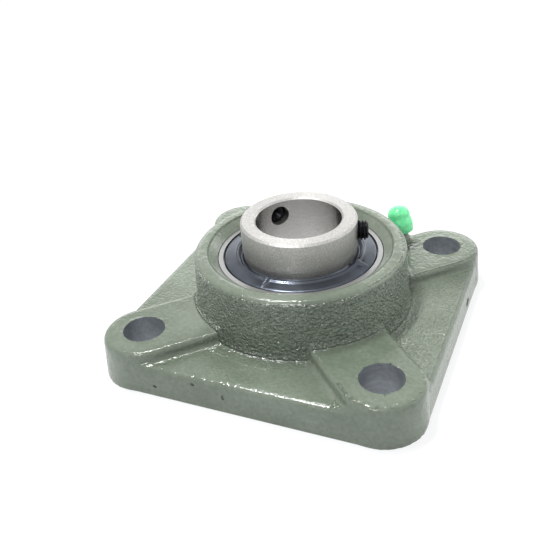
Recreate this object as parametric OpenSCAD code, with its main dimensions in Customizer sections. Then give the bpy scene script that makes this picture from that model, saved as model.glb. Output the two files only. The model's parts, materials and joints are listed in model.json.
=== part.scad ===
// Four-bolt square flange unit: a cast housing with a spherical seat, a self-aligning ball
// bearing insert with two set screws, and an angled grease nipple under a plastic cap.
// Origin: where the shaft axis meets the mounting face. +Z points along the shaft to the nose.

/* [Flange] */
// Distance between neighbouring bolt holes
bolt_spacing = 70; // [68:0.5:76]
// Diameter of the bolt holes
bolt_hole_d = 12; // [8:0.5:14]
// Radius of the flange's corners, round the bolt holes
corner_r = 12.5; // [11:0.25:14]
// Thickness of the flange between the bolt pads
plate_t = 9; // [7.5:0.25:10.5]
// Height of the bolt pads over the plate
pad_h = 3.5; // [2.5:0.25:4.5]
// How far the straight edges lie inside the round corners
edge_relief = 0.25; // [0.15:0.05:0.6]

/* [Casting] */
// Draft of the flange walls and of the pad walls, in degrees
flange_draft = 4.5; // [2:0.5:6]
// Draft of the hub wall, in degrees
hub_draft = 3; // [1:0.5:4]
// Rounding of the flange's and the pads' upper edges
edge_r = 1.5; // [0.8:0.1:2]
// Rounding of the hub's upper edge
hub_edge_r = 1.8; // [1:0.1:2.4]
// Fillet at the foot of the bolt pads
pad_foot_r = 1.3; // [0.8:0.1:1.8]
// Fillet at the foot of the hub
hub_foot_r = 2.2; // [1.2:0.1:2.8]

/* [Hub] */
// Wall between the seat and the top of the hub
hub_wall = 5.27; // [4.4:0.01:6.2]
// Height of the hub over the insert's centre plane
hub_rise = 11; // [10:0.1:12]
// How far the mouth at the top opens past the seat
mouth_flare = 1.17; // [0.9:0.01:1.6]
// How far the opening in the mounting face opens past the seat
back_flare = 2.47; // [1.5:0.01:3]
// Running clearance between the spherical seat and the outer ring
seat_gap = 0.03; // [0.02:0.01:0.06]
// Side clearance of the two loading slots
slot_gap = 1; // [0.5:0.1:2]
// Depth of the grease groove in the seat
groove_depth = 0.7; // [0.5:0.1:1]
// How far the grease passage lies under the insert's centre plane
passage_drop = 1.6; // [1.2:0.1:2]

/* [Insert] */
// Bore of the inner ring
shaft_d = 25; // [23:0.5:27]
// Wall of the inner ring
ring_wall = 4.5; // [4:0.1:5]
// Height of the insert's centre plane over the mounting face
center_h = 16; // [15:0.1:18]
// Length of the inner ring past the front flinger, where the set screws are
collar_w = 10.3; // [9:0.1:11]
// Length of the inner ring past the back flinger
tail_w = 4.8; // [3.6:0.1:5.4]
// Depth of the step in the ring's outside that the flingers are pressed against
land_step = 0.35; // [0.2:0.05:0.5]
// Distance of that step from a flinger's ridge
land_rise = 1.2; // [0.6:0.1:1.6]
// Height of the inner ring's shoulders beside its ball groove
inner_shoulder = 1.139; // [1:0.001:1.3]
// Height of the outer ring's shoulders beside its ball groove
outer_shoulder = 1.489; // [1.3:0.001:1.6]
// Wall of the outer ring under its ball groove
outer_wall = 2.511; // [2.2:0.001:3]
// Chamfer at the ends of the inner ring's bore
bore_chamfer = 0.5; // [0.2:0.1:1]
// Chamfer at the ends of the inner ring's outside
ring_chamfer = 0.6; // [0.2:0.1:1]
// Chamfer at the outer ring's edges
outer_chamfer = 0.25; // [0.1:0.05:0.5]

/* [Balls and cage] */
// Diameter of a ball
ball_d = 7.938; // [7.4:0.001:8.2]
// Number of balls
ball_count = 9; // [7:1:9]
// How much wider than the balls the grooves are, as a share
groove_slack = 0.04; // [0.03:0.005:0.06]
// Clearance between a ball and the bottom of a groove
ball_gap = 0.02; // [0.01:0.005:0.04]
// Sheet thickness of the cage
cage_t = 0.6; // [0.4:0.05:0.8]
// Width of the cage's ring
cage_w = 3.6; // [3:0.1:4]
// Clearance between a ball and its cage pocket
pocket_gap = 0.1; // [0.05:0.01:0.2]
// Diameter of a cage rivet
rivet_d = 1; // [0.8:0.1:1.2]

/* [Seals and flingers] */
// Space between the cage and the seals
seal_gap = 0.831; // [0.5:0.001:1]
// Depth of the seals' seat in the outer ring's bore
seal_step = 0.95; // [0.7:0.05:1.1]
// Sheet thickness of the seal shells
shell_t = 0.4; // [0.3:0.05:0.5]
// Height of the seal shell's rim
shell_rim = 1.4; // [1.2:0.1:1.8]
// Space between the seal shells and the inner ring, which the lips close
shell_gap = 2; // [1.6:0.1:2.4]
// Running clearance between a seal lip and the inner ring
lip_gap = 0.08; // [0.05:0.01:0.1]
// Space over the seals inside the outer ring's mouth
seal_depth = 1.6; // [1.2:0.1:2]
// Sheet thickness of the flingers
flinger_t = 0.5; // [0.4:0.05:0.6]
// Clearance round a flinger's turned-down edge
flinger_gap = 0.35; // [0.3:0.05:0.6]
// Height of a flinger's ridge over the face of the outer ring
flinger_rise = 1; // [0.8:0.1:1.6]
// Distance of a flinger's ridge from the inner ring
ridge_reach = 1.5; // [1.2:0.1:2]
// Width of a flinger's pressed ribs
rib_w = 1.8; // [1.2:0.1:2.2]
// Angle of a flinger's first pressed rib
rib_angle = -8; // [-45:1:45]

/* [Set screws] */
// Diameter of the set screws
screw_d = 6; // [5:0.5:7]
// Length of the set screws
screw_len = 6; // [5.5:0.5:6.5]
// Distance of the set screws from the end of the inner ring
screw_inset = 5; // [4.4:0.1:6]
// Angle of the first set screw about the shaft
screw_angle = 20; // [0:1:45]
// Angle between the two set screws
screw_spread = 120; // [90:5:120]
// How far the set screws stand out of the inner ring
screw_out = 3; // [2.6:0.1:3.4]
// Width across the flats of the hexagon socket
socket_af = 3; // [2.5:0.5:3]
// Clearance between a set screw and its hole
screw_gap = 0.03; // [0.02:0.01:0.06]

/* [Grease nipple] */
// Angle of the grease nipple about the shaft
nipple_angle = 55; // [50:1:60]
// Lean of the nipple's head away from the bolt pad, in degrees
nipple_lean = 13; // [0:1:20]
// Radius of the boss that the nipple is screwed into
boss_r = 5.2; // [4.8:0.1:5.6]
// How far the boss stands out of the hub wall
boss_reach = 1.4; // [1:0.1:2]
// Diameter of the nipple's shank
shank_d = 6; // [5:0.5:6.5]
// Length of the nipple's shank
shank_len = 5; // [4:0.5:5]
// Width across the flats of the nipple's collar
collar_af = 8; // [7.5:0.5:8.5]
// Thickness of the nipple's collar
collar_t = 1.7; // [1.5:0.1:2.5]
// Diameter of the nipple's bent arm
arm_d = 5.6; // [5.2:0.1:5.8]
// Space between the nipple's collar and the cap
cap_space = 0.2; // [0.1:0.1:1]
// Diameter of the nipple's head
head_d = 6.5; // [6.2:0.1:6.8]
// Length of the nipple's head over the bend
head_len = 10.6; // [10:0.1:11.4]
// Diameter of the neck under the head
neck_d = 4.4; // [4:0.1:5]
// Diameter of the head's tip
tip_d = 3.4; // [3:0.1:3.8]
// Length of the head's tapered end, with its tip
taper_len = 4.2; // [3.6:0.1:4.6]
// Diameter of the grease passage
passage_d = 2; // [1.8:0.1:2.2]
// Diameter of the nipple's check ball
check_ball_d = 1.8; // [1.6:0.1:1.8]
// Clearance round the check ball
check_ball_gap = 0.1; // [0.05:0.01:0.15]
// Diameter of the spring's wire
spring_wire_d = 0.25; // [0.2:0.01:0.3]
// Wall of the plastic cap
cap_wall = 0.8; // [0.6:0.1:1]
// Clearance between the cap and the nipple
cap_gap = 0.05; // [0.03:0.01:0.1]
// Clearance round the nipple's collar in the hollow of the bolt pad
collar_gap = 0.2; // [0.1:0.05:0.4]

/* [Hidden] */
$fn = 96;

// Cuts run past the surfaces that they open by this much
over = 1;
// A fillet dips this far under the surfaces that it joins, so that they cross cleanly
dip = 0.08;
// Straight steps in an eighth of a circle
arc_steps = 4;
// Clearance between pieces that are pressed or screwed together
fit_gap = 0.02;

// Insert, outward from the shaft
bore_r = shaft_d / 2;
ring_r = bore_r + ring_wall;
ball_r = ball_d / 2;
groove_r = ball_r * (1 + groove_slack);
ring_land_r = ring_r - land_step;
inner_groove_bottom = ring_land_r - inner_shoulder;
pitch_r = inner_groove_bottom + ball_gap + ball_r;
outer_groove_bottom = pitch_r + ball_r + ball_gap;
outer_land_r = outer_groove_bottom - outer_shoulder;
mouth_r = outer_land_r + seal_step;
insert_r = outer_groove_bottom + outer_wall;
shell_r = mouth_r - fit_gap;
shell_bore_r = ring_land_r + shell_gap;
flinger_r = mouth_r - flinger_gap;
flinger_in_r = ring_land_r + fit_gap;
ridge_r = ring_r + ridge_reach;
pocket_r = ball_r + pocket_gap;

// Insert, along the shaft from its centre plane
seal_z = pocket_r + cage_t + seal_gap;
outer_half_w = seal_z + shell_rim + seal_depth;
ridge_z = outer_half_w + flinger_rise;
// Half the width of a ball groove where it opens between its shoulders
groove_half_w = sqrt(groove_r ^ 2 - (groove_r - outer_shoulder) ^ 2);
// Grease holes of the outer ring, between its ball groove and the back seal
grease_hole_r = (seal_z - groove_half_w) / 4;
grease_hole_z = (groove_half_w + seal_z) / 2;

ring_top = center_h + ridge_z + collar_w;
ring_bottom = center_h - ridge_z - tail_w;
screw_z = ring_top - screw_inset;
// Steps of the inner ring's outside, which leave room beside the flingers
step_top = center_h + ridge_z + land_rise;
step_bottom = center_h - ridge_z - land_rise;
screw_end_r = ring_r + screw_out;

// Housing
half_spacing = bolt_spacing / 2;
bolt_circle_r = half_spacing * sqrt(2);
pad_t = plate_t + pad_h;
plate_half_w = half_spacing + corner_r - edge_relief;
seat_r = insert_r + seat_gap;
hub_h = center_h + hub_rise;
hub_foot_r0 = seat_r + hub_wall + hub_h * tan(hub_draft);
// The seat ends level with the outer ring's faces
seat_edge_r = sqrt(seat_r ^ 2 - outer_half_w ^ 2);
slot_w = 2 * outer_half_w + slot_gap;
// The loading slots are half as deep as the grease groove
slot_r = seat_r + groove_depth / 2;
// The seat's grease groove reaches from the passage to the outer ring's grease holes
groove_top = center_h - passage_drop + passage_d / 2;
groove_bottom = center_h - grease_hole_z - grease_hole_r;
// Bars that run inward from the bolt holes end inside the hub
pad_run = bolt_circle_r - seat_r / 2;

// Nipple, outward from the shaft and then along its head from the middle of its bend
nipple_z = center_h - passage_drop;
boss_face = hub_foot_r0 - nipple_z * tan(hub_draft) + boss_reach;
cap_in_r = head_d / 2 + cap_gap;
skirt_r = cap_in_r + cap_wall;
arm_len = collar_t + cap_space + skirt_r;
head_r = boss_face + arm_len;
shank_start = boss_face - shank_len;
spot_face_r = collar_af / 2 / cos(30) + collar_gap;
bead_top = head_len - taper_len;
bead_h = taper_len / 5;
// Over the bead the head narrows at 45 degrees, and then tapers to the tip
neck_in = (head_d - tip_d) / 4;
shoulder_r = head_d / 2 - neck_in;
shoulder_z = bead_top + neck_in;
orifice_r = check_ball_d * 0.3;
chamber_r = check_ball_d / 2 + check_ball_gap;
chamber_bottom = arm_d * 0.6;
check_ball_z = head_len - check_ball_d * 0.65;
cap_bottom = arm_d / 2 + cap_gap;

spring_turns = 7;
spring_sides = 8;
spring_steps = 12;
spring_r = chamber_r - spring_wire_d * 0.7;
spring_bottom = chamber_bottom + spring_wire_d / 2;
// The last turn lies under the check ball's round side
spring_top = check_ball_z - cap_gap
    - sqrt((check_ball_d / 2 + spring_wire_d / 2) ^ 2 - spring_r ^ 2);

// Points of a circle's arc from angle a to angle b
function arc(center, r, a, b) =
    let (n = ceil(abs(b - a) / 45 * arc_steps))
    [for (i = [0:n]) center + r * [cos(a + (b - a) * i / n), sin(a + (b - a) * i / n)]];

// Outer edge of a drafted wall with a rounded top: radius r at z = 0, height h
function cast_edge(r, h, draft, round_r) =
    let (c = [r - (h - round_r) * tan(draft) - round_r / cos(draft), h - round_r])
    concat([[r, 0]], arc(c, round_r, draft, 90));

// Fillet between a level surface at height z and a drafted wall of radius r at z = 0
function cast_fillet(r, z, draft, fillet_r) =
    let (reach = fillet_r - dip,
        c = [r - (z + reach) * tan(draft) + reach / cos(draft), z + reach])
    concat([[c[0], z - edge_r]], arc(c, fillet_r, 270, 180 + draft));

function mirrored(points) = [for (i = [len(points) - 1:-1:0]) [-points[i][0], points[i][1]]];

// Closes an edge to the axis, to be turned into a round
function to_axis(edge) = concat([[0, edge[0][1]]], edge, [[0, edge[len(edge) - 1][1]]]);

// A bar along Y whose section has the edge on both sides
module bar(edge, length) {
    rotate([90, 0, 0]) linear_extrude(length) polygon(concat(edge, mirrored(edge)));
}

// A bar from the hub to a bolt hole that ends in a half round about the hole
module pad(edge) {
    rotate_extrude(angle = 180) polygon(to_axis(edge));
    bar(edge, pad_run);
}

module at_bolts() {
    for (a = [45:90:315]) rotate([0, 0, a - 90]) translate([0, bolt_circle_r, 0]) children();
}

// The square of the flange without its corners, up to height h
module cross_plate(h, round_r) {
    edge = cast_edge(plate_half_w, h, flange_draft, round_r);
    for (a = [0, 90]) rotate([0, 0, a]) translate([0, half_spacing, 0]) bar(edge, bolt_spacing);
}

module flange() {
    cross_plate(plate_t, edge_r);
    at_bolts() pad(cast_edge(corner_r, pad_t, flange_draft, edge_r));
    intersection() {
        at_bolts() pad(cast_fillet(corner_r, plate_t, flange_draft, pad_foot_r));
        cross_plate(plate_t + pad_foot_r, edge_r + pad_foot_r);
    }
}

module hub() {
    rotate_extrude() polygon(to_axis(cast_edge(hub_foot_r0, hub_h, hub_draft, hub_edge_r)));
    rotate_extrude() polygon(to_axis(cast_fillet(hub_foot_r0, plate_t, hub_draft, hub_foot_r)));
    intersection() {
        rotate_extrude() polygon(to_axis(cast_fillet(hub_foot_r0, pad_t, hub_draft, hub_foot_r)));
        at_bolts() bar(cast_edge(corner_r, pad_t + hub_foot_r, flange_draft, edge_r + hub_foot_r),
            pad_run);
    }
}

// Outward along the grease passage, from the shaft axis or from a distance on it
module at_nipple(from = 0) {
    rotate([0, 0, nipple_angle]) translate([from, 0, nipple_z]) rotate([0, 90, 0]) children();
}

// The opening for the insert: cast mouths on both sides of a machined spherical seat
module seat_opening() {
    back_r = seat_r + back_flare;
    back_slope = (back_r - seat_edge_r) / (center_h - outer_half_w);
    mouth_top = seat_r + mouth_flare;
    translate([0, 0, center_h]) sphere(seat_r);
    translate([0, 0, -over]) cylinder(r1 = back_r + over * back_slope,
        r2 = back_r - back_slope * center_h, h = center_h + over);
    translate([0, 0, center_h]) cylinder(r1 = mouth_top - hub_rise, r2 = mouth_top + over,
        h = hub_rise + over);
    translate([0, 0, groove_bottom])
        cylinder(r = seat_r + groove_depth, h = groove_top - groove_bottom);
    rotate([0, 0, nipple_angle]) translate([-slot_w / 2, -slot_r, -over])
        cube([slot_w, 2 * slot_r, center_h + over]);
}

module housing() {
    color("#7f8c78") difference() {
        union() {
            flange();
            hub();
            at_nipple() cylinder(r = boss_r, h = boss_face);
        }
        seat_opening();
        at_bolts() translate([0, 0, -over]) cylinder(d = bolt_hole_d, h = pad_t + 2 * over);
        at_nipple() cylinder(d = passage_d, h = boss_face + over);
        at_nipple(shank_start - fit_gap) cylinder(d = shank_d + 2 * fit_gap, h = shank_len + over);
        // Spot face for the nipple, which leaves a hollow in the pad beside it
        at_nipple(boss_face) cylinder(r = spot_face_r, h = arm_len + arm_d / 2 + over);
    }
}

module outer_ring() {
    chamfer_r = sqrt(insert_r ^ 2 - outer_half_w ^ 2) - outer_chamfer;
    color("silver") translate([0, 0, center_h]) difference() {
        intersection() {
            sphere(insert_r);
            rotate_extrude() polygon([[0, -outer_half_w], [chamfer_r, -outer_half_w],
                [chamfer_r + outer_half_w, 0], [chamfer_r, outer_half_w], [0, outer_half_w]]);
        }
        cylinder(r = outer_land_r, h = 2 * outer_half_w + 2 * over, center = true);
        rotate_extrude() translate([outer_groove_bottom - groove_r, 0]) circle(groove_r);
        for (side = [0, 180]) rotate([side, 0, 0]) translate([0, 0, seal_z])
            cylinder(r = mouth_r, h = outer_half_w);
        // Two holes that let grease in beside the balls
        for (a = [0, 180]) rotate([0, 0, nipple_angle + a]) translate([0, 0, -grease_hole_z])
            rotate([0, 90, 0]) cylinder(r = grease_hole_r, h = insert_r);
    }
}

// Outward along the hole of one set screw, from the shaft axis
module at_screw(i) {
    rotate([0, 0, screw_angle + i * screw_spread]) translate([0, 0, screw_z])
        rotate([0, 90, 0]) children();
}

module inner_ring() {
    color("#c9c5bd") difference() {
        rotate_extrude() polygon([
            [bore_r + bore_chamfer, ring_bottom], [ring_r - ring_chamfer, ring_bottom],
            [ring_r, ring_bottom + ring_chamfer], [ring_r, step_bottom - land_step / 2],
            [ring_r - land_step / 2, step_bottom], [ring_land_r, step_bottom],
            [ring_land_r, step_top], [ring_r - land_step / 2, step_top],
            [ring_r, step_top + land_step / 2], [ring_r, ring_top - ring_chamfer],
            [ring_r - ring_chamfer, ring_top], [bore_r + bore_chamfer, ring_top],
            [bore_r, ring_top - bore_chamfer], [bore_r, ring_bottom + bore_chamfer]]);
        translate([0, 0, center_h]) rotate_extrude()
            translate([inner_groove_bottom + groove_r, 0]) circle(groove_r);
        for (i = [0, 1]) at_screw(i) translate([0, 0, bore_r / 2])
            cylinder(r = screw_d / 2 + screw_gap, h = ring_r);
    }
}

// Set screw with a cup point and a hexagon socket; its thread is a plain cylinder
module set_screw(i) {
    r = screw_d / 2;
    chamfer = screw_d / 8;
    cup_r = screw_d / 4;
    tip = screw_end_r - screw_len;
    color("#26282a") at_screw(i) difference() {
        rotate_extrude() polygon([[0, tip], [r - chamfer, tip], [r, tip + chamfer],
            [r, screw_end_r - chamfer], [r - chamfer, screw_end_r], [0, screw_end_r]]);
        translate([0, 0, tip - over]) cylinder(r1 = cup_r + over, r2 = 0, h = cup_r + over);
        translate([0, 0, screw_end_r - screw_len / 2])
            cylinder(d = socket_af / cos(30), h = screw_len, $fn = 6);
    }
}

// Turns what is made for the front of the insert to one of its sides
module on_side(back) {
    translate([0, 0, center_h]) rotate([back ? 180 : 0, 0, 0]) children();
}

module seal_shell(back) {
    rim_top = seal_z + shell_rim;
    color("#9aa0a4") on_side(back) rotate_extrude() polygon([
        [shell_bore_r, seal_z], [shell_r, seal_z], [shell_r, rim_top],
        [shell_r - shell_t, rim_top], [shell_r - shell_t, seal_z + shell_t],
        [shell_bore_r, seal_z + shell_t]]);
}

// Rubber moulded round the shell's inner edge, with a lip that leans outward to the ring
module seal_lip(back) {
    lip_r = ring_land_r + lip_gap;
    web_r = lip_r + shell_gap / 2;
    lap_r = shell_bore_r + shell_gap / 2;
    color("#2b2b2b") on_side(back) rotate_extrude() polygon([
        [shell_bore_r, seal_z], [shell_bore_r, seal_z + shell_t], [lap_r, seal_z + shell_t],
        [lap_r, seal_z + 2 * shell_t], [web_r, seal_z + 2 * shell_t],
        [lip_r, seal_z + 3 * shell_t], [lip_r, seal_z + 2 * shell_t], [web_r, seal_z]]);
}

// Sheet ring on the inner ring: a collar, a ridge beside it, a slope and a turned-down edge
module flinger(back) {
    t = flinger_t;
    valley = ridge_z - 2 * t;
    collar_end = valley - 3 * t;
    collar_r = flinger_in_r + t;
    brow = outer_half_w;
    edge_end = outer_half_w - seal_depth + flinger_gap;
    color("#4a4f57") on_side(back) {
        rotate_extrude() polygon([
            [flinger_in_r, collar_end], [flinger_in_r, valley], [collar_r, valley + t / 4],
            [ridge_r - t / 2, ridge_z - t / 4], [ridge_r, ridge_z],
            [ridge_r + t / 2, ridge_z - t / 8], [flinger_r - t, brow + t / 4],
            [flinger_r - t / 4, brow], [flinger_r, brow - t / 2], [flinger_r, edge_end],
            [flinger_r - t, edge_end], [flinger_r - t, brow - t / 2],
            [ridge_r + t / 2, ridge_z - t * 9 / 8], [ridge_r, ridge_z - t],
            [collar_r, valley - t / 2], [collar_r, collar_end]]);
        for (a = [0:90:270]) rotate([0, 0, rib_angle + a]) flinger_rib(brow);
    }
}

// A crease pressed up out of the sheet, highest at the ridge and running out down the slope
module flinger_rib(brow) {
    width = flinger_r - ridge_r;
    fall = atan((ridge_z - brow) / width);
    translate([ridge_r, 0, ridge_z - rib_w / 8]) rotate([0, 90 + fall, 0])
        cylinder(r1 = rib_w / 2, r2 = rib_w / 6, h = width * 0.75);
}

// Places children round the pitch circle: at the balls, or between them with a shift of 0.5
module at_balls(which = [1:ball_count], shift = 0) {
    for (i = which) rotate([0, 0, (i - 1 + shift) * 360 / ball_count])
        translate([pitch_r, 0, 0]) children();
}

// A flat ring of the cage's width
module cage_ring(h) {
    difference() {
        cylinder(r = pitch_r + cage_w / 2, h = h);
        translate([0, 0, -over]) cylinder(r = pitch_r - cage_w / 2, h = h + 2 * over);
    }
}

// One pressed half: flat webs between round pockets that reach over the balls
module cage_half(back) {
    color("#b5a06a") on_side(back) difference() {
        intersection() {
            cage_ring(ball_d);
            union() {
                at_balls() sphere(pocket_r + cage_t);
                translate([0, 0, -over]) cylinder(r = pitch_r + cage_w, h = cage_t + over);
            }
        }
        at_balls() sphere(pocket_r);
        at_balls(shift = 0.5) cylinder(d = rivet_d + 2 * fit_gap, h = 4 * cage_t, center = true);
    }
}

module cage_rivets() {
    color("#a8935c") translate([0, 0, center_h]) at_balls(shift = 0.5) {
        cylinder(d = rivet_d, h = 2 * cage_t, center = true);
        for (side = [0, 180]) rotate([side, 0, 0]) translate([0, 0, cage_t])
            cylinder(r1 = rivet_d * 0.9, r2 = rivet_d * 0.5, h = rivet_d * 0.45);
    }
}

module ball(i) {
    color("gainsboro") translate([0, 0, center_h]) at_balls([i]) sphere(ball_r);
}

// Up along the nipple's head from the middle of its bend
module at_head() {
    rotate([0, 0, nipple_angle]) translate([head_r, 0, nipple_z]) rotate([-nipple_lean, 0, 0])
        children();
}

module nipple_body() {
    color("#b9b4a2") difference() {
        union() {
            at_nipple(shank_start) cylinder(d = shank_d, h = shank_len);
            at_nipple(boss_face) cylinder(d = collar_af / cos(30), h = collar_t, $fn = 6);
            at_nipple(boss_face) cylinder(d = arm_d, h = arm_len);
            at_head() sphere(d = arm_d);
            at_head() rotate_extrude() polygon([[0, 0], [neck_d / 2, 0],
                [neck_d / 2, bead_top - 2 * bead_h], [head_d / 2, bead_top - bead_h],
                [head_d / 2, bead_top], [shoulder_r, shoulder_z], [tip_d / 2, head_len],
                [0, head_len]]);
        }
        at_nipple(shank_start - over) cylinder(d = passage_d, h = shank_len + arm_len + over);
        at_head() cylinder(d = passage_d * 0.8, h = chamber_bottom + over);
        at_head() translate([0, 0, chamber_bottom])
            cylinder(r = chamber_r, h = check_ball_z - chamber_bottom);
        at_head() translate([0, 0, check_ball_z]) sphere(chamber_r);
        at_head() translate([0, 0, check_ball_z]) cylinder(r = orifice_r, h = head_len);
    }
}

module nipple_ball() {
    color("gainsboro") at_head() translate([0, 0, check_ball_z]) sphere(d = check_ball_d);
}

// A coil as one tube swept along its helix
module nipple_spring() {
    wire_r = spring_wire_d / 2;
    rings = spring_turns * spring_steps;
    rise = (spring_top - spring_bottom) / rings;
    points = [for (i = [0:rings]) for (j = [0:spring_sides - 1])
        let (turn = i * 360 / spring_steps, side = j * 360 / spring_sides,
            r = spring_r + wire_r * cos(side))
        [r * cos(turn), r * sin(turn), spring_bottom + i * rise + wire_r * sin(side)]];
    faces = concat([[for (j = [0:spring_sides - 1]) j]],
        [for (i = [0:rings - 1]) for (j = [0:spring_sides - 1])
            let (a = i * spring_sides + j, b = i * spring_sides + (j + 1) % spring_sides)
            [a, a + spring_sides, b + spring_sides, b]],
        [[for (j = [spring_sides - 1:-1:0]) rings * spring_sides + j]]);
    color("silver") at_head() polyhedron(points, faces);
}

// Plastic cap: a skirt that swells round the bead, and a round dome over the tip
module nipple_cap() {
    top_in = head_len + cap_gap;
    top = top_in + cap_wall;
    dome_r = cap_in_r + cap_wall / 8;
    dome_round = dome_r * 0.7;
    swell = 2 * cap_wall;
    color("#46c97e") at_head() rotate_extrude() polygon(concat(
        [[cap_in_r, cap_bottom], [skirt_r - cap_wall / 2, cap_bottom]],
        arc([skirt_r - swell, bead_top - swell / 2], swell, 0, 60),
        arc([dome_r - dome_round, top - dome_round], dome_round, 0, 90),
        [[0, top], [0, top_in], [tip_d / 2 + cap_gap, top_in],
        [shoulder_r + cap_gap, shoulder_z + cap_gap], [cap_in_r, bead_top + cap_gap]]));
}

housing();
outer_ring();
seal_shell(false);  // seal_shell_front
seal_lip(false);  // seal_lip_front
seal_shell(true);  // seal_shell_back
seal_lip(true);  // seal_lip_back
inner_ring();
flinger(false);  // flinger_front
flinger(true);  // flinger_back
set_screw(0);  // set_screw_1
set_screw(1);  // set_screw_2
cage_half(false);  // cage_half_front
cage_half(true);  // cage_half_back
cage_rivets();
ball(1);  // ball_1
ball(2);  // ball_2
ball(3);  // ball_3
ball(4);  // ball_4
ball(5);  // ball_5
ball(6);  // ball_6
ball(7);  // ball_7
ball(8);  // ball_8
ball(9);  // ball_9
nipple_body();
nipple_ball();
nipple_spring();
nipple_cap();
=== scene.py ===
import json
import math

import bmesh
import bpy
import numpy as np
from mathutils import Matrix, Vector, noise


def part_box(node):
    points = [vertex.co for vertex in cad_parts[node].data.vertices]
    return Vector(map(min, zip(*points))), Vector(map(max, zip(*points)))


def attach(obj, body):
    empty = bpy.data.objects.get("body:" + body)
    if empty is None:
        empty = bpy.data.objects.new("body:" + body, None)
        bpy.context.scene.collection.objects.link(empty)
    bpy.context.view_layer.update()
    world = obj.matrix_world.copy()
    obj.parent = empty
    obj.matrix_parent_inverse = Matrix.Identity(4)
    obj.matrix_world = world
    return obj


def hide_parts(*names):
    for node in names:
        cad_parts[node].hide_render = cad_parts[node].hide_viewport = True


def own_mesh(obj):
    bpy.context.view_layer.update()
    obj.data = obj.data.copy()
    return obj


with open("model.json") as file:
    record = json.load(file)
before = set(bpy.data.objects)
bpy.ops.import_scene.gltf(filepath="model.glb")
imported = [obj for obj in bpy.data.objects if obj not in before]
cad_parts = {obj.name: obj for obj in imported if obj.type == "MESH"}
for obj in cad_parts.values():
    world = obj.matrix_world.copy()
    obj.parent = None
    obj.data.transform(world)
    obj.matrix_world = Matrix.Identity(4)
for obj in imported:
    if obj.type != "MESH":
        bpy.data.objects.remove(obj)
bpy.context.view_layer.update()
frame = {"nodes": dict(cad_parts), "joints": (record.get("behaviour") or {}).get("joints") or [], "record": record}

MM = 0.001
UP = Vector((0, 0, 1))


# ------------------------------------------------------------ sizes and places

def joint(name):
    """The record's joint of that name."""
    return next(j for j in frame["joints"] if j["name"] == name)


def mount(name):
    """The record's mount of that name."""
    return next(m for m in frame["record"]["mounts"] if m["name"] == name)


def points_of(mesh):
    """A mesh's vertices as rows of x, y and z."""
    co = np.empty(len(mesh.vertices) * 3)
    mesh.vertices.foreach_get("co", co)
    return co.reshape(-1, 3)


def distance_from(points, center):
    """How far points lie from an upright axis through a center."""
    return np.hypot(points[:, 0] - center[0], points[:, 1] - center[1])


insert_center = Vector(joint("shaft_spin")["pos_m"])
insert_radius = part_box("outer_ring")[1].x
bore_radius = distance_from(points_of(frame["nodes"]["inner_ring"].data), insert_center).min()
ring_back, ring_front = (corner.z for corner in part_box("outer_ring"))
hub_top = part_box("housing")[1].z
plate_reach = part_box("housing")[1].x

bolts = mount("flange_bolts")["dims"]
hole_radius = bolts["hole_r_mm"] * MM
half_spacing = bolts["spacing_x_mm"] / 2 * MM
hole_centers = [(x, y) for x in (-half_spacing, half_spacing) for y in (-half_spacing, half_spacing)]

housing_points = points_of(frame["nodes"]["housing"].data)
near_hole = distance_from(housing_points, hole_centers[0]) < hole_radius + 2 * MM
pad_top = housing_points[near_hole, 2].max()
shaft_distance = distance_from(housing_points, insert_center)
front_mouth_radius = shaft_distance[housing_points[:, 2] > hub_top - 0.01 * MM].min()
back_mouth_radius = shaft_distance[housing_points[:, 2] < 0.01 * MM].min()

# The rest are sizes that neither the frame's boxes nor its record give
seat_radius = insert_radius + 0.03 * MM
hub_wall_radius = 31 * MM
hub_foot_radius = 35 * MM
rough_field_edge = 25 * MM
cap_radius = 4.1 * MM
nipple_collar_radius = 4 * MM / math.cos(math.radians(30))
# How far the plate's wall leans in over its height
plate_draft = 0.088


# ------------------------------------------------------------ materials

def colour(hex_value):
    """An sRGB hex colour as linear light with full alpha."""
    channels = [int(hex_value[i:i + 2], 16) / 255 for i in (1, 3, 5)]
    linear = [c / 12.92 if c <= 0.04045 else ((c + 0.055) / 1.055) ** 2.4 for c in channels]
    return (*linear, 1)


def per_metre(size_mm):
    """The scale that gives a pattern features of this size."""
    return 1 / (size_mm * MM)


def add(tree, kind, inputs=None, stops=(), **settings):
    """Adds a node with its settings, and sets or links its inputs. Stops, each a place and a
    colour, are for a colour ramp."""
    node = tree.nodes.new(kind)
    for name, value in settings.items():
        setattr(node, name, value)
    for socket, value in (inputs or {}).items():
        if isinstance(value, bpy.types.NodeSocket):
            tree.links.new(value, node.inputs[socket])
        else:
            node.inputs[socket].default_value = value
    for i, (position, hex_value) in enumerate(stops):
        # A new ramp comes with two stops
        elements = node.color_ramp.elements
        stop = elements[i] if i < 2 else elements.new(position)
        stop.position = position
        stop.color = colour(hex_value)
    return node


def new_material(name, **shader):
    """A material with its shader's plain values set, and the place on the object."""
    material = bpy.data.materials.new(name)
    material.use_nodes = True
    tree = material.node_tree
    surface = tree.nodes["Principled BSDF"]
    for socket, value in shader.items():
        surface.inputs[socket.replace("_", " ")].default_value = value
    place = add(tree, "ShaderNodeTexCoord").outputs["Object"]
    return material, tree, surface, place


def give_finish(tree, surface, tone, stops, gloss, roughness, height, relief_mm):
    """Links a shader's colour to a tone through stops, its roughness to a value between two
    limits, and its relief to a height."""
    ramp = add(tree, "ShaderNodeValToRGB", {"Fac": tone}, stops)
    rough = add(tree, "ShaderNodeMapRange",
                {"Value": gloss, "To Min": roughness[0], "To Max": roughness[1]})
    bump = add(tree, "ShaderNodeBump", {"Height": height, "Distance": relief_mm * MM})
    tree.links.new(ramp.outputs["Color"], surface.inputs["Base Color"])
    tree.links.new(rough.outputs[0], surface.inputs["Roughness"])
    tree.links.new(bump.outputs[0], surface.inputs["Normal"])


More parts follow.
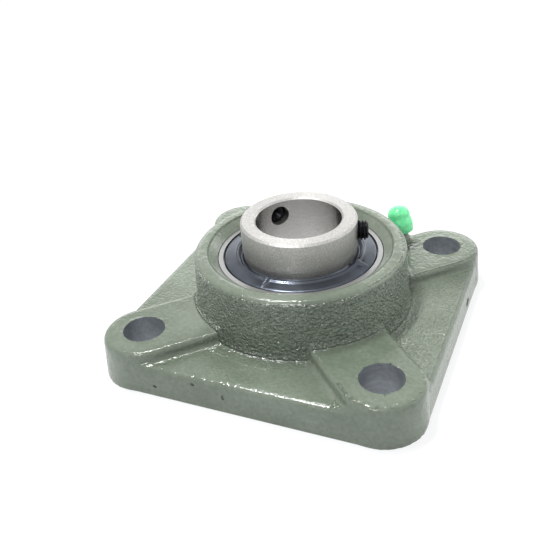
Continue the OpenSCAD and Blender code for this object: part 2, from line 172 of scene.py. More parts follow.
def about_shaft(tree, place):
    """Distance from the shaft axis, turn about it in radians, and height."""
    local = add(tree, "ShaderNodeVectorMath", {0: place, 1: insert_center}, operation="SUBTRACT")
    x, y, z = add(tree, "ShaderNodeSeparateXYZ", {0: local.outputs[0]}).outputs
    flat = add(tree, "ShaderNodeCombineXYZ", {0: x, 1: y})
    radius = add(tree, "ShaderNodeVectorMath", {0: flat.outputs[0]}, operation="LENGTH")
    turn = add(tree, "ShaderNodeMath", {0: y, 1: x}, operation="ARCTAN2")
    return radius.outputs["Value"], turn.outputs[0], z


def enamel_over_cast_iron():
    """Olive enamel sprayed over sand-cast iron: its gloss breaks into glints on the sand's grain.
    Grain and orange peel are drawn coarser than real, so that they show."""
    material, tree, surface, place = new_material("olive_enamel_over_cast_iron", IOR=1.62)
    grain = add(tree, "ShaderNodeAttribute", attribute_name="sand_grain_and_shade").outputs["Fac"]
    peel = add(tree, "ShaderNodeTexNoise",
               {"Vector": place, "Scale": per_metre(1.1), "Detail": 1, "Roughness": 0.4})
    sand = add(tree, "ShaderNodeTexNoise",
               {"Vector": place, "Scale": per_metre(0.75), "Detail": 1, "Roughness": 0.5})
    cloud = add(tree, "ShaderNodeTexNoise",
                {"Vector": place, "Scale": per_metre(16), "Detail": 3})
    grit = add(tree, "ShaderNodeMath", {0: sand.outputs["Fac"], 1: grain}, operation="MULTIPLY")

    # Specks of dust stand in the enamel, in patches
    specks = add(tree, "ShaderNodeTexVoronoi", {"Vector": place, "Scale": per_metre(1.8)})
    speck_here = add(tree, "ShaderNodeMapRange",
                     {"Value": specks.outputs["Distance"], "From Min": 0.16, "From Max": 0.02},
                     interpolation_type="SMOOTHSTEP")
    dusty = add(tree, "ShaderNodeMapRange",
                {"Value": cloud.outputs["Fac"], "From Min": 0.48, "From Max": 0.58})
    speck = add(tree, "ShaderNodeMath", {0: speck_here.outputs[0], 1: dusty.outputs[0]},
                operation="MULTIPLY")

    # The relief adds up peel, grit and specks
    skin = add(tree, "ShaderNodeMath", {0: peel.outputs["Fac"], 1: 0.3, 2: grit.outputs[0]},
               operation="MULTIPLY_ADD")
    relief = add(tree, "ShaderNodeMath", {0: speck.outputs[0], 1: 0.35, 2: skin.outputs[0]},
                 operation="MULTIPLY_ADD")

    # The tone follows clouds and peel. It is painted lighter on the grit's crests and darker where the grain is
    # strong: painted shade in the sand's hollows, strongest on the hub's wall
    grit_crest_light = add(tree, "ShaderNodeMath", {0: grit.outputs[0], 1: 0.3}, operation="MULTIPLY")
    coarse = add(tree, "ShaderNodeMath", {0: cloud.outputs["Fac"], 1: grit_crest_light.outputs[0]},
                 operation="ADD")
    shaded = add(tree, "ShaderNodeMath", {0: grain, 1: -0.15, 2: coarse.outputs[0]},
                 operation="MULTIPLY_ADD")
    tone = add(tree, "ShaderNodeMath", {0: peel.outputs["Fac"], 1: 0.45, 2: shaded.outputs[0]},
               operation="MULTIPLY_ADD")
    give_finish(tree, surface, tone=tone.outputs[0],
                stops=[(0.45, "#606B5C"), (0.72, "#6C7767"), (0.95, "#788374")],
                gloss=cloud.outputs["Fac"], roughness=(0.12, 0.2),
                height=relief.outputs[0], relief_mm=0.4)
    return material


def machined_iron():
    """Grey iron drilled and faced after painting: bare, dull, and ringed by the tool. The rings
    are drawn coarser than a tool's feed, so that they show."""
    material, tree, surface, place = new_material("machined_grey_iron", Metallic=0.5)
    radius, turn, z = about_shaft(tree, place)
    # A fiftieth of the arc takes the arc's place, so the marks are drawn out round the shaft
    arc = add(tree, "ShaderNodeMath", {0: turn, 1: 0.02 * insert_radius}, operation="MULTIPLY")
    ringed = add(tree, "ShaderNodeCombineXYZ", {0: radius, 1: arc.outputs[0], 2: z})
    marks = add(tree, "ShaderNodeTexNoise",
                {"Vector": ringed.outputs[0], "Scale": per_metre(0.8), "Detail": 3})
    stain = add(tree, "ShaderNodeTexNoise", {"Vector": place, "Scale": per_metre(5), "Detail": 3})
    stained = add(tree, "ShaderNodeMath", {0: stain.outputs["Fac"], 1: 0.4}, operation="MULTIPLY")
    tone = add(tree, "ShaderNodeMath", {0: marks.outputs["Fac"], 1: 0.6, 2: stained.outputs[0]},
               operation="MULTIPLY_ADD")
    give_finish(tree, surface, tone=tone.outputs[0], stops=[(0.35, "#868B90"), (0.65, "#A2A7AC")],
                gloss=marks.outputs["Fac"], roughness=(0.38, 0.55),
                height=marks.outputs["Fac"], relief_mm=0.03)
    return material


def fine_turned_steel():
    """Inner ring: sides and face fine-turned grey with a sandy grain, drawn coarser than real so
    that it shows, and its bore ground bright."""
    material, tree, surface, place = new_material(
        "fine_turned_bearing_steel", Metallic=1, Anisotropic=0.4, Anisotropic_Rotation=0.25)
    around = add(tree, "ShaderNodeTangent", direction_type="RADIAL", axis="Z")
    tree.links.new(around.outputs[0], surface.inputs["Tangent"])
    radius = about_shaft(tree, place)[0]
    outside = add(tree, "ShaderNodeMapRange",
                  {"Value": radius, "From Min": bore_radius + 0.02 * MM,
                   "From Max": bore_radius + 0.06 * MM}).outputs[0]
    grit = add(tree, "ShaderNodeTexNoise", {"Vector": place, "Scale": per_metre(0.3), "Detail": 2})
    # The tone runs from 0 to 0.5 in the bore and from 0.5 to 1 outside it
    half = add(tree, "ShaderNodeMath", {0: outside, 1: 0.5}, operation="MULTIPLY")
    tone = add(tree, "ShaderNodeMath", {0: grit.outputs["Fac"], 1: 0.5, 2: half.outputs[0]},
               operation="MULTIPLY_ADD")
    relief = add(tree, "ShaderNodeMath", {0: grit.outputs["Fac"], 1: outside}, operation="MULTIPLY")
    give_finish(tree, surface, tone=tone.outputs[0],
                stops=[(0.15, "#CDCCCB"), (0.35, "#E4E3E1"), (0.68, "#A5A4A2"), (0.82, "#C9C8C5")],
                gloss=outside, roughness=(0.18, 0.43), height=relief.outputs[0], relief_mm=0.03)
    return material


def even_finish(name, tones, roughness, spot_mm, relief_mm, spread=(0.3, 0.7), **shader):
    """A finish whose tone, gloss and surface vary a little over spots of one size. The spread says
    which values of the spots' noise the two tones stand at."""
    material, tree, surface, place = new_material(name, **shader)
    spots = add(tree, "ShaderNodeTexNoise",
                {"Vector": place, "Scale": per_metre(spot_mm), "Detail": 3}).outputs["Fac"]
    give_finish(tree, surface, tone=spots, stops=list(zip(spread, tones)),
                gloss=spots, roughness=roughness, height=spots, relief_mm=relief_mm)
    return material


enamel = enamel_over_cast_iron()
bare_iron = machined_iron()
ring_steel = fine_turned_steel()
# Finely ground race face: a brighter, cooler ring of light
race_steel = even_finish(
    "ground_bearing_steel", tones=("#9C9D9C", "#ABACAB"), roughness=(0.28, 0.38),
    spot_mm=0.6, relief_mm=0.004, Metallic=1)
# Blued pressed sheet: dark metal with a soft sheen on its slopes and bright bends
coated_sheet = even_finish(
    "blued_pressed_sheet", tones=("#4B4F57", "#555A62"), roughness=(0.22, 0.3),
    spot_mm=4, relief_mm=0.004, Metallic=1)
# Black oxide under a film of oil: dark metal that glints on its thread
black_oxide = even_finish(
    "oiled_black_oxide", tones=("#17181A", "#232427"), roughness=(0.25, 0.4),
    spot_mm=0.8, relief_mm=0.01, Metallic=0.7)
# Moulded nitrile: matte black with a faint bloom
nitrile = even_finish(
    "moulded_nitrile_rubber", tones=("#141414", "#1E1E1D"), roughness=(0.55, 0.7),
    spot_mm=0.6, relief_mm=0.02, IOR=1.52)
# Rolled and pressed sheet: grey with the soft clouds of the mill
rolled_sheet = even_finish(
    "pressed_sheet_steel", tones=("#8E9296", "#A6AAAD"), roughness=(0.28, 0.4),
    spot_mm=1.5, relief_mm=0.01, Metallic=1)
# Pressed cage sheet, a little yellow from its heat treatment
cage_sheet = even_finish(
    "pressed_cage_sheet", tones=("#A99C80", "#BDB196"), roughness=(0.3, 0.42),
    spot_mm=1.5, relief_mm=0.01, Metallic=1)
# Lapped balls: a mirror with hardly any haze
lapped_steel = even_finish(
    "lapped_ball_steel", tones=("#D8D8D8", "#E4E4E4"), roughness=(0.05, 0.09),
    spot_mm=3, relief_mm=0.001, Metallic=1)
# Drawn wire: even grey metal
wire_steel = even_finish(
    "drawn_spring_wire", tones=("#9A9A9A", "#B4B4B4"), roughness=(0.25, 0.35),
    spot_mm=0.3, relief_mm=0.004, Metallic=1)
# Moulded polyethylene: waxy, lit a little from within
green_polyethylene = even_finish(
    "green_moulded_polyethylene", tones=("#66E096", "#82F4B0"), roughness=(0.22, 0.34),
    spot_mm=2, relief_mm=0.02, IOR=1.51, Subsurface_Weight=0.3, Subsurface_Scale=1 * MM,
    Subsurface_Radius=(0.6, 1.0, 0.5))
# Zinc plating under the housing's enamel: the nipple was in place when the casting was sprayed. Its tones are
# painted lighter than the housing's enamel, as painted light on a collar that sits in shade
nipple_finish = even_finish(
    "oversprayed_zinc_with_painted_light", tones=("#727D6E", "#808B7C"), roughness=(0.2, 0.36),
    spot_mm=1.4, relief_mm=0.01, spread=(1 / 6, 1))


# ------------------------------------------------------------ mesh work

def put_in_scene(name, data):
    """A new object in the scene for a mesh, a lamp or a camera."""
    placed = bpy.data.objects.new(name, data)
    bpy.context.scene.collection.objects.link(placed)
    return placed


def new_piece(name, mesh, body, node, materials):
    """An object for a mesh that stands for a CAD node and moves with a body."""
    piece = put_in_scene(name, mesh)
    for material in materials:
        mesh.materials.append(material)
    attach(piece, body)
    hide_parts(node)
    return piece


def lofted(name, rings):
    """A closed mesh over rings of equally many points. Where the last ring is the first, the
    mesh closes there, and otherwise each end gets a flat face."""
    count = len(rings[0])
    corners = [tuple(p) for ring in rings for p in ring]
    faces = []
    for row in range(len(rings) - 1):
        for i in range(count):
            j = (i + 1) % count
            faces.append((row * count + i, row * count + j, (row + 1) * count + j, (row + 1) * count + i))
    last = (len(rings) - 1) * count
    if rings[0] == rings[-1]:
        corners = corners[:last]
        faces = [tuple(corner % last for corner in face) for face in faces]
    else:
        faces.append(tuple(reversed(range(count))))
        faces.append(tuple(range(last, last + count)))
    mesh = bpy.data.meshes.new(name)
    mesh.from_pydata(corners, [], faces)
    outward = bmesh.new()
    outward.from_mesh(mesh)
    bmesh.ops.recalc_face_normals(outward, faces=outward.faces)
    outward.to_mesh(mesh)
    outward.free()
    mesh.shade_smooth()
    mesh.set_sharp_from_angle(angle=math.radians(35))
    return mesh


def revolved(name, profile, sides, center=(0, 0)):
    """A closed mesh turned from an outline of radius and height about an upright axis."""
    rings = []
    for i in range(sides):
        turn = math.tau * i / sides
        rings.append([(center[0] + r * math.cos(turn), center[1] + r * math.sin(turn), z)
                      for r, z in profile])
    return lofted(name, rings + rings[:1])


def rod(name, radius, bottom, top, sides, center=(0, 0)):
    """A closed upright cylinder, with a hair of a hole down its axis."""
    core = 0.1 * MM
    outline = [(core, bottom), (radius, bottom), (radius, top), (core, top)]
    return revolved(name, outline, sides, center)


def frame_along(origin, axis):
    """The matrix that stands a piece made along +Z on an axis through an origin."""
    turn = UP.rotation_difference(axis).to_matrix().to_4x4()
    return Matrix.Translation(origin) @ turn


def with_modifier(mesh, kind, **settings):
    """A mesh as one modifier leaves it."""
    carrier = put_in_scene("carrier", mesh)
    modifier = carrier.modifiers.new("step", kind)
    for name, value in settings.items():
        setattr(modifier, name, value)
    seen = carrier.evaluated_get(bpy.context.evaluated_depsgraph_get())
    result = bpy.data.meshes.new_from_object(seen)
    bpy.data.objects.remove(carrier)
    return result


def cut(mesh, tool, operation="DIFFERENCE"):
    """A mesh with the volume of another closed mesh taken away, or otherwise combined with it."""
    cutter = put_in_scene("cutter", tool)
    result = with_modifier(mesh, "BOOLEAN", operation=operation, solver="MANIFOLD", object=cutter)
    bpy.data.objects.remove(cutter)
    return result


def voxelled(mesh, cell):
    """A mesh rebuilt with even cells, so that overlapping bodies become one."""
    return with_modifier(mesh, "REMESH", mode="VOXEL", voxel_size=cell)


def normals_of(mesh):
    """A mesh's vertex normals as rows of x, y and z."""
    normals = np.empty(len(mesh.vertices) * 3)
    mesh.vertex_normals.foreach_get("vector", normals)
    return normals.reshape(-1, 3)


def eased(points, mesh, share):
    """Points moved towards the middle of their neighbours, each by its own share."""
    edges = np.empty(len(mesh.edges) * 2, int)
    mesh.edges.foreach_get("vertices", edges)
    start, end = edges.reshape(-1, 2).T
    count = np.bincount(edges, minlength=len(points))[:, None]
    total = np.zeros_like(points)
    np.add.at(total, start, points[end])
    np.add.at(total, end, points[start])
    return points + share[:, None] * (total / count - points)


def lumps(points, size_mm):
    """Smooth lumps of one size, from about -1 to 1, at each point."""
    return np.array([noise.noise(Vector(p)) for p in points / (size_mm * MM)])


# ------------------------------------------------------------ the casting

def from_bolt_and_seat(points):
    """How far points lie from the nearest bolt hole's axis, and from the center of the seat."""
    from_bolt = np.min([distance_from(points, c) for c in hole_centers], axis=0)
    return from_bolt, np.linalg.norm(points - insert_center, axis=1)


def insert_opening():
    """The machined seat between its two mouths, with the fine groove round the front one."""
    half_width = ring_front - insert_center.z
    edge = math.asin(half_width / seat_radius)
    steps = 12
    seat = [(seat_radius * math.cos(a), insert_center.z + seat_radius * math.sin(a))
            for a in (edge * i / steps for i in range(-steps, steps + 1))]
    mouth_foot = front_mouth_radius - (hub_top - ring_front)
    core = 0.1 * MM
    groove = 0.35 * MM
    past = 1 * MM
    slope = (back_mouth_radius - seat[0][0]) / ring_back
    profile = [(core, -past), (back_mouth_radius + past * slope, -past)] + seat
    profile += [(mouth_foot, ring_front), (front_mouth_radius - groove, hub_top - groove),
                (front_mouth_radius, hub_top - groove * 1.7), (front_mouth_radius + groove, hub_top),
                (front_mouth_radius + groove + past, hub_top + past), (core, hub_top + past)]
    return revolved("insert_opening", profile, 192)


def pad_beyond_nipple(casting):
    """What the nipple's hollow takes from its bolt pad past the collar, as the far pad has it."""
    nipple = mount("grease_nipple")
    axis = Vector(nipple["axis"])
    outward = Vector((axis.y, -axis.x, 0)).normalized()
    sideways = Vector((-outward.y, outward.x, 0))
    bend = Vector(nipple["pos_m"]).dot(outward)
    arm_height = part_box("nipple_body")[0].z + nipple_collar_radius
    start = bend - cap_radius - 0.15 * MM
    end = bend + 6 * MM
    half_width = 5.5 * MM
    corners = [(start, -half_width), (start, half_width), (end, half_width), (end, -half_width)]
    block = [[outward * away + sideways * side + UP * h for away, side in corners]
             for h in (1 * MM, pad_top + 1 * MM)]
    far_pad = casting.copy()
    far_pad.transform(Matrix.Rotation(math.pi, 4, "Z"))
    metal = cut(far_pad, lofted("pad_block", block), "INTERSECT")
    arm_room = rod("arm_room", radius=3 * MM, bottom=-1 * MM, top=8 * MM, sides=48)
    arm_room.transform(frame_along(outward * start + UP * arm_height, outward))
    return cut(metal, arm_room)


def casting_pits():
    """Three blow holes in the front edge of the plate and a knock on its right edge."""
    foot_inset_mm = 0.25
    # Each one's edge, place along it, height on it and half sizes, in mm
    marks = [("front", -26, 3.3, (0.6, 0.6, 0.5)), ("front", -13.9, 6.9, (0.6, 0.6, 0.5)),
             ("front", -4.9, 4.9, (0.5, 0.6, 0.8)), ("right", 18.5, 3.4, (0.8, 2.2, 1.1))]
    both = bmesh.new()
    for edge, along, height, half_sizes in marks:
        # The wall leans in with its draft
        wall = plate_reach - (foot_inset_mm + plate_draft * height) * MM
        place = Vector((wall, along * MM, height * MM))
        if edge == "front":
            place = Vector((along * MM, -wall, height * MM))
        sizes = Vector([size * MM for size in half_sizes])
        bmesh.ops.create_icosphere(both, subdivisions=2, radius=1,
                                   matrix=Matrix.LocRotScale(place, None, sizes))
    mesh = bpy.data.meshes.new("casting_pits")
    both.to_mesh(mesh)
    both.free()
    return mesh


def moulded_casting(cell):
    """The casting before machining, in even cells. Its moulded faces carry the sand's relief, and
    the faces to be machined stand proud by the metal that the cuts take off."""
    solid = frame["nodes"]["housing"].data.copy()
    both = bmesh.new()
    both.from_mesh(solid)
    both.from_mesh(pad_beyond_nipple(voxelled(solid, cell)))
    both.to_mesh(solid)
    both.free()
    mesh = voxelled(solid, cell)
    mesh.materials.clear()
    points = points_of(mesh)
    normals = normals_of(mesh)
    x, y, z = points.T.copy()
    away = np.hypot(x, y)

    # Faces to be machined are told apart at about half a cell
    allowance = 0.35 * MM
    from_bolt, from_center = from_bolt_and_seat(points)
    in_hole = from_bolt < hole_radius + cell * 0.6
    in_opening = (from_center < seat_radius + cell / 2) | (
        (away < back_mouth_radius) & (z > ring_front - 3 * MM) & (z < hub_top - cell))
    on_back = z < cell * 0.75
    points[in_hole | in_opening] += normals[in_hole | in_opening] * allowance
    points[on_back, 2] = -allowance
    cast = 1 - (in_hole | in_opening | on_back).astype(float)
    points = eased(points, mesh, cast * 0.5)

    # The sand's grain is weak on level tops, and strong on the hub's wall and the right-hand field, where the
    # enamel's tone is also painted darker, as shade
    level_grain, plain_grain, foot_grain, field_grain, wall_grain = 0.12, 0.25, 0.6, 1.6, 1.9
    wall_sparkle_and_shade = 3.6
    level = (normals[:, 2] > 0.95) & (z > pad_top - 0.5 * MM)
    on_wall = (np.abs(away - hub_wall_radius) < 2 * MM) & (z < hub_top - 1 * MM)
    on_foot = np.abs(away - hub_foot_radius) < 2 * MM
    on_field = (x > rough_field_edge) & (normals[:, 2] > 0.9)
    grain = cast * np.where(level, level_grain, plain_grain)
    grain[on_wall & ~level] = wall_grain
    grain[on_foot & ~level] = foot_grain
    grain[on_field & ~level] = field_grain

    # Relief in mm: fine and middling lumps go with the grain, and long waves run over all of it
    relief = grain * (0.035 * lumps(points, 3.2) + 0.04 * lumps(points, 1.5))
    relief += 0.04 * lumps(points, 13)
    points += normals * (cast * relief * MM)[:, None]
    mesh.vertices.foreach_set("co", points.ravel())

    # The enamel sparkles more on the wall than its relief alone would make it, and its tone is painted darker
    # there: painted shade on the hub's wall
    sparkle = mesh.attributes.new("sand_grain_and_shade", "FLOAT", "POINT")
    sparkle.data.foreach_set("value", np.where(grain == wall_grain, wall_sparkle_and_shade, grain))
    mesh.update()
    return mesh


def machined(mesh):
    """The casting with its back faced, its bolt holes drilled and its seat turned, and with its
    blow holes open."""
    below = -2 * MM
    side = 60 * MM
    slab = [[(-side, -side, h), (side, -side, h), (side, side, h), (-side, side, h)] for h in (below, 0)]
    mesh = cut(mesh, lofted("back_facing", slab))
    for center in hole_centers:
        drill = rod("bolt_drill", hole_radius, below, pad_top + 1 * MM, sides=96, center=center)
        mesh = cut(mesh, drill)
    mesh = cut(mesh, insert_opening())
    return cut(mesh, casting_pits())


def cast_housing():
    """The casting: its moulded faces carry the sand's grain, and its machined faces are cut true."""
    mesh = machined(moulded_casting(0.58 * MM))
    points = points_of(mesh)
    from_bolt, from_center = from_bolt_and_seat(points)
    slack = 0.005 * MM
    in_seat = np.abs(points[:, 2] - insert_center.z) < 9 * MM
    bare = (from_bolt < hole_radius + slack) | (points[:, 2] < slack) | (
        (from_center < seat_radius + slack) & in_seat)
    for face in mesh.polygons:
        face.use_smooth = True
    mesh.set_sharp_from_angle(angle=math.radians(40))
    mesh = with_modifier(mesh, "WEIGHTED_NORMAL", keep_sharp=True)
    mesh.materials.clear()
    new_piece("housing_casting", mesh, "housing", "housing", [enamel, bare_iron])
    for face in mesh.polygons:
        face.material_index = int(all(bare[v] for v in face.vertices))


# ------------------------------------------------------------ the other pieces

def pressed_flinger(side):
    """A flinger as the press leaves it: a trough round its bore, a rolled ridge past that, and four
    folds that die out down its slope."""
    node = f"flinger_{side}"
    low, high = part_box("flinger_front")
    sheet = 0.5 * MM
    outer = high.x
    inner = distance_from(points_of(frame["nodes"]["flinger_front"].data), insert_center).min()
    ridge = ring_front + 1 * MM
    rim_foot = low.z + 0.3 * MM
    fold_angle, fold_height, fold_width = -8, 0.6 * MM, 1.2 * MM

    # Distance past the inner edge and drop below the ridge, in mm, and share of the fold there
    trough = [(0, 0.6, 0), (0.15, 0.55, 0), (0.35, 0.8, 0), (0.6, 1.05, 0), (0.95, 1.1, 0),
              (1.25, 0.8, 0.2), (1.45, 0.3, 0.9), (1.62, 0.06, 1), (1.85, 0, 1),
              (2.05, 0.06, 1), (2.3, 0.24, 1), (2.5, 0.38, 0.96)]
    upper = [(inner + past * MM, ridge - drop * MM, share) for past, drop, share in trough]
    start = (inner + 2.8 * MM, ridge - 0.46 * MM)
    end = (outer - sheet, ring_front + 0.12 * MM)
    for i in range(9):
        share = i / 8
        upper.append((start[0] + (end[0] - start[0]) * share,
                      start[1] + (end[1] - start[1]) * share, 0.9 * (1 - share) ** 0.8))
    upper += [(outer - 0.2 * MM, ring_front, 0), (outer - 0.05 * MM, ring_front - 0.15 * MM, 0),
              (outer, ring_front - 0.4 * MM, 0), (outer, rim_foot, 0)]
    lower = [(outer - sheet, rim_foot, 0), (outer - sheet, ring_front - sheet, 0)]
    lower += [(r, z - sheet, share) for r, z, share in reversed(upper[4:-4])]
    lower += [(inner + sheet, ridge - 1.7 * MM, 0), (inner + sheet, low.z, 0), (inner, low.z, 0)]
    steps = 720
    rings = []
    for i in range(steps):
        turn = math.tau * i / steps
        fold = math.radians(abs((math.degrees(turn) - fold_angle + 45) % 90 - 45))
        ring = []
        for r, z, share in upper + lower:
            reach = fold * r / (fold_width * max(share, 0.05))
            height = z + fold_height * share * (0.5 + 0.5 * math.cos(math.pi * min(reach, 1)))
            if side == "back":
                # The other side's flinger is this one's mirror image
                height = 2 * insert_center.z - height
            ring.append((r * math.cos(turn), r * math.sin(turn), height))
        rings.append(ring)
    mesh = lofted(f"{node}_sheet", rings + rings[:1])
    new_piece(f"{node}_pressed", mesh, "inner_race", node, [coated_sheet])


def threaded_screw(number):
    """A set screw with a rolled thread, a cup point and a hexagon socket."""
    node = f"set_screw_{number}"
    outward = -Vector(joint(f"{node}_drive")["axis"])
    low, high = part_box(node)
    height = (low.z + high.z) / 2
    along = points_of(frame["nodes"][node].data) @ np.array(outward)
    tip, end = along.min(), along.max()
    length = end - tip
    radius = (high.z - low.z) / 2
    socket = radius / 2
    core = 0.02 * MM
    pitch, thread_depth = 1.0 * MM, 0.6 * MM
    chamfer = radius / 4
    sides = 48
    turns = [i / sides for i in range(sides)]

    # Each row is a distance from the tip and the radius there at every turn
    rows = [(radius / 2, [core] * sides), (0.06 * MM, [radius / 2] * sides)]
    steps = int(length / pitch * 10)
    for at in (length * i / steps for i in range(steps + 1)):
        crest = radius - max(0.0, chamfer - min(at, length - at))
        grooves = [0.5 - 0.5 * math.cos(math.tau * (at / pitch - turn)) for turn in turns]
        rows.append((at, [min(crest, radius - thread_depth * groove) for groove in grooves]))
    hexagon = [socket / math.cos(math.radians((turn * 360) % 60 - 30)) for turn in turns]
    rows += [(length, [radius * 0.62] * sides), (length - 0.1 * MM, hexagon), (length / 2, hexagon),
             (length / 2, [radius * 0.4] * sides), (length / 2 - radius / 4, [core] * sides)]
    rings = [[(r * math.cos(math.tau * turn), r * math.sin(math.tau * turn), at)
              for r, turn in zip(radii, turns)] for at, radii in rows]
    mesh = lofted(f"{node}_thread", rings)
    mesh.transform(frame_along(outward * tip + UP * height, outward))
    new_piece(f"{node}_threaded", mesh, f"screw_{number}", node, [black_oxide])


def about_nipple(node):
    """The matrix that lines a piece up with the nipple, from the face of its head, and how far
    along from there and away from its axis a node's points lie."""
    axis = Vector(mount("grease_nipple")["axis"])
    face = Vector(mount("grease_nipple")["pos_m"])
    local = points_of(frame["nodes"][node].data) - np.array(face)
    along = local @ np.array(axis)
    return frame_along(face, axis), along, np.linalg.norm(local - np.outer(along, axis), axis=1)


def moulded_cap():
    """The nipple's cap: a waxy moulding that swells at its skirt under a round dome."""
    stand, along, away = about_nipple("nipple_cap")
    bottom, top = along.min(), along.max()
    swell = away.max()
    bore = away[along < bottom + 0.1 * MM].min()
    wall = swell - bore
    rim = swell - wall / 2
    lip = bottom + 0.12 * MM
    widest = bottom + (top - bottom) * 0.3
    waist = bottom + (top - bottom) * 0.66
    dome = swell * 0.85
    profile = [(bore, bottom), (rim - 0.15 * MM, bottom), (rim, lip)]
    profile += [(rim + (swell - rim) * math.sin(math.radians(a)),
                 widest - (widest - lip) * math.cos(math.radians(a)))
                for a in range(10, 91, 10)]
    profile += [(dome + (swell - dome) * (0.5 + 0.5 * math.cos(math.pi * i / 10)),
                 widest + (waist - widest) * i / 10) for i in range(1, 11)]
    profile += [(dome * math.cos(math.radians(a)) ** 0.9,
                 waist + (top - waist) * math.sin(math.radians(a)))
                for a in range(6, 90, 6)]
    crown = top - wall
    core = 0.05 * MM
    profile += [(core, top), (core, crown), (dome * 0.5, crown), (bore, widest + 1.2 * MM)]
    mesh = revolved("cap_moulding", profile, 64)
    mesh.transform(stand)
    new_piece("cap_moulded", mesh, "cap", "nipple_cap", [green_polyethylene])


def coiled_spring():
    """The nipple's spring, coiled along its axis, which the ball presses."""
    stand, along, away = about_nipple("nipple_spring")
    wire_radius = (away.max() - away.min()) / 2
    coil_radius = (away.max() + away.min()) / 2
    bottom, top = along.min() + wire_radius, along.max() - wire_radius
    turns, steps, sides = 7, 32, 12
    rings = []
    for i in range(turns * steps + 1):
        turn = math.tau * i / steps
        height = bottom + (top - bottom) * i / (turns * steps)
        ring = []
        for j in range(sides):
            side = math.tau * j / sides
            r = coil_radius + wire_radius * math.cos(side)
            ring.append((r * math.cos(turn), r * math.sin(turn), height + wire_radius * math.sin(side)))
        rings.append(ring)
    mesh = lofted("spring_wire", rings)
    mesh.transform(stand)
    spring = new_piece("nipple_spring_coiled", mesh, "housing", "nipple_spring",
                       [wire_steel])
    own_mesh(spring)


cast_housing()
pressed_flinger("front")
pressed_flinger("back")
threaded_screw(1)
threaded_screw(2)
moulded_cap()
coiled_spring()

# CAD nodes that aren't named here are the balls
finishes = {
    "outer_ring": race_steel, "inner_ring": ring_steel,
    "flinger_front": coated_sheet, "flinger_back": coated_sheet,
    "seal_shell_front": rolled_sheet, "seal_shell_back": rolled_sheet,
    "seal_lip_front": nitrile, "seal_lip_back": nitrile,
    "cage_half_front": cage_sheet, "cage_half_back": cage_sheet, "cage_rivets": cage_sheet,
    "nipple_body": nipple_finish, "nipple_ball": lapped_steel, "nipple_spring": wire_steel,
    "housing": enamel, "nipple_cap": green_polyethylene,
    "set_screw_1": black_oxide, "set_screw_2": black_oxide,
}
for node, shown in frame["nodes"].items():
    for place in shown.material_slots:
        place.material = finishes.get(node, lapped_steel)


# ------------------------------------------------------------ floor, light and camera

def seen_directly(tree):
    """1 for what the camera sees, also in a mirror or through glass, else 0."""
    path = add(tree, "ShaderNodeLightPath").outputs
    mirror = add(tree, "ShaderNodeMath", {0: path["Is Camera Ray"], 1: path["Is Glossy Ray"]},
                 operation="MAXIMUM")
    return add(tree, "ShaderNodeMath", {0: mirror.outputs[0], 1: path["Is Transmission Ray"]},
               operation="MAXIMUM").outputs[0]


def studio_floor():
    """A white sheet under the object, which shows only the shadow at its foot."""
    size = 3.0
    below = -0.05 * MM
    corners = [(-size, -size, below), (size, -size, below), (size, size, below), (-size, size, below)]
    mesh = bpy.data.meshes.new("floor")
    mesh.from_pydata(corners, [], [(0, 1, 2, 3)])
    floor = put_in_scene("studio_floor", mesh)
    material, tree, surface, place = new_material("white_paper", Roughness=0.9)
    surface.inputs["Base Color"].default_value = colour("#EEF1F6")
    glow = add(tree, "ShaderNodeEmission", {"Color": colour("#FFFFFF"), "Strength": 1.05})
    # Near the object a quarter of the sheet stays paper, and further off it is plain white
    distance = add(tree, "ShaderNodeVectorMath", {0: place}, operation="LENGTH").outputs["Value"]
    plain = add(tree, "ShaderNodeMapRange",
                {"Value": distance, "From Min": 0.12, "From Max": 0.4, "To Min": 0.75}).outputs[0]
    share = add(tree, "ShaderNodeMath", {0: seen_directly(tree), 1: plain}, operation="MULTIPLY")
    mixed = add(tree, "ShaderNodeMixShader",
                {0: share.outputs[0], 1: surface.outputs[0], 2: glow.outputs[0]})
    tree.links.new(mixed.outputs[0], tree.nodes["Material Output"].inputs["Surface"])
    mesh.materials.append(material)


def softbox(name, place, width, height, power):
    """An oblong lamp aimed at the bearing."""
    lamp = bpy.data.lights.new(name, "AREA")
    lamp.shape = "RECTANGLE"
    lamp.size = width
    lamp.size_y = height
    lamp.energy = power
    light = put_in_scene(name, lamp)
    light.location = place
    light.rotation_euler = (insert_center - Vector(place)).to_track_quat("-Z", "Y").to_euler()


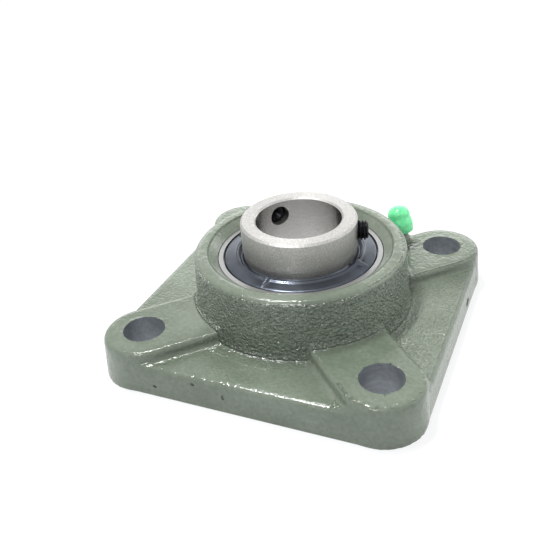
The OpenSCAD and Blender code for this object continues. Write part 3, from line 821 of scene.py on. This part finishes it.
def studio_world():
    """White where it is seen or mirrored. As light it is a pale room, darker in front and above."""
    world = bpy.data.worlds.new("studio")
    bpy.context.scene.world = world
    world.use_nodes = True
    tree = world.node_tree
    direction = add(tree, "ShaderNodeTexCoord").outputs["Generated"]
    backwards = (-0.15, 0.99, 0)
    away = add(tree, "ShaderNodeVectorMath", {0: direction, 1: backwards}, operation="DOT_PRODUCT")
    behind = add(tree, "ShaderNodeMapRange",
                 {"Value": away.outputs["Value"], "From Min": -0.3, "From Max": 0.4}).outputs[0]
    height = add(tree, "ShaderNodeSeparateXYZ", {0: direction}).outputs["Z"]
    backdrop = add(tree, "ShaderNodeMapRange",
                   {"Value": height, "From Min": 0.58, "From Max": 0.47,
                    "To Min": 0.6, "To Max": 2.5}).outputs[0]
    bright = add(tree, "ShaderNodeMath", {0: behind, 1: backdrop, 2: 0.12},
                 operation="MULTIPLY_ADD").outputs[0]
    room = tree.nodes["Background"]
    room.inputs["Color"].default_value = colour("#FFFFFF")
    tree.links.new(bright, room.inputs["Strength"])
    white = add(tree, "ShaderNodeBackground", {"Color": colour("#FFFFFF"), "Strength": 1})
    mixed = add(tree, "ShaderNodeMixShader",
                {0: seen_directly(tree), 1: room.outputs[0], 2: white.outputs[0]})
    tree.links.new(mixed.outputs[0], tree.nodes["World Output"].inputs["Surface"])


def studio_camera():
    """The camera stands in front, to the right and above, a little rolled."""
    lens = bpy.data.cameras.new("camera")
    lens.sensor_width = 36
    lens.lens = 47.57
    lens.clip_start = 0.01
    camera = put_in_scene("camera", lens)
    azimuth, elevation, roll = (math.radians(a) for a in (24.89, 32.13, -4.39))
    turn = Matrix.Rotation(azimuth, 4, "Z") @ Matrix.Rotation(math.pi / 2 - elevation, 4, "X")
    place = Matrix.Translation(Vector((74.0, -175.4, 134.3)) * MM)
    camera.matrix_world = place @ turn @ Matrix.Rotation(roll, 4, "Z")
    bpy.context.scene.camera = camera


studio_floor()
studio_world()
softbox("overhead_softbox", (-0.15, 0.02, 0.6), width=0.3, height=0.06, power=3.0)
softbox("side_softbox", (0.7, 0.25, 0.35), width=0.5, height=0.5, power=0.5)
softbox("front_softbox", (0.05, -0.6, 0.45), width=0.22, height=0.12, power=1.4)
softbox("back_softbox", (-0.15, 0.95, 0.36), width=1.6, height=0.25, power=2.2)
studio_camera()
bpy.context.scene.view_settings.view_transform = "Standard"
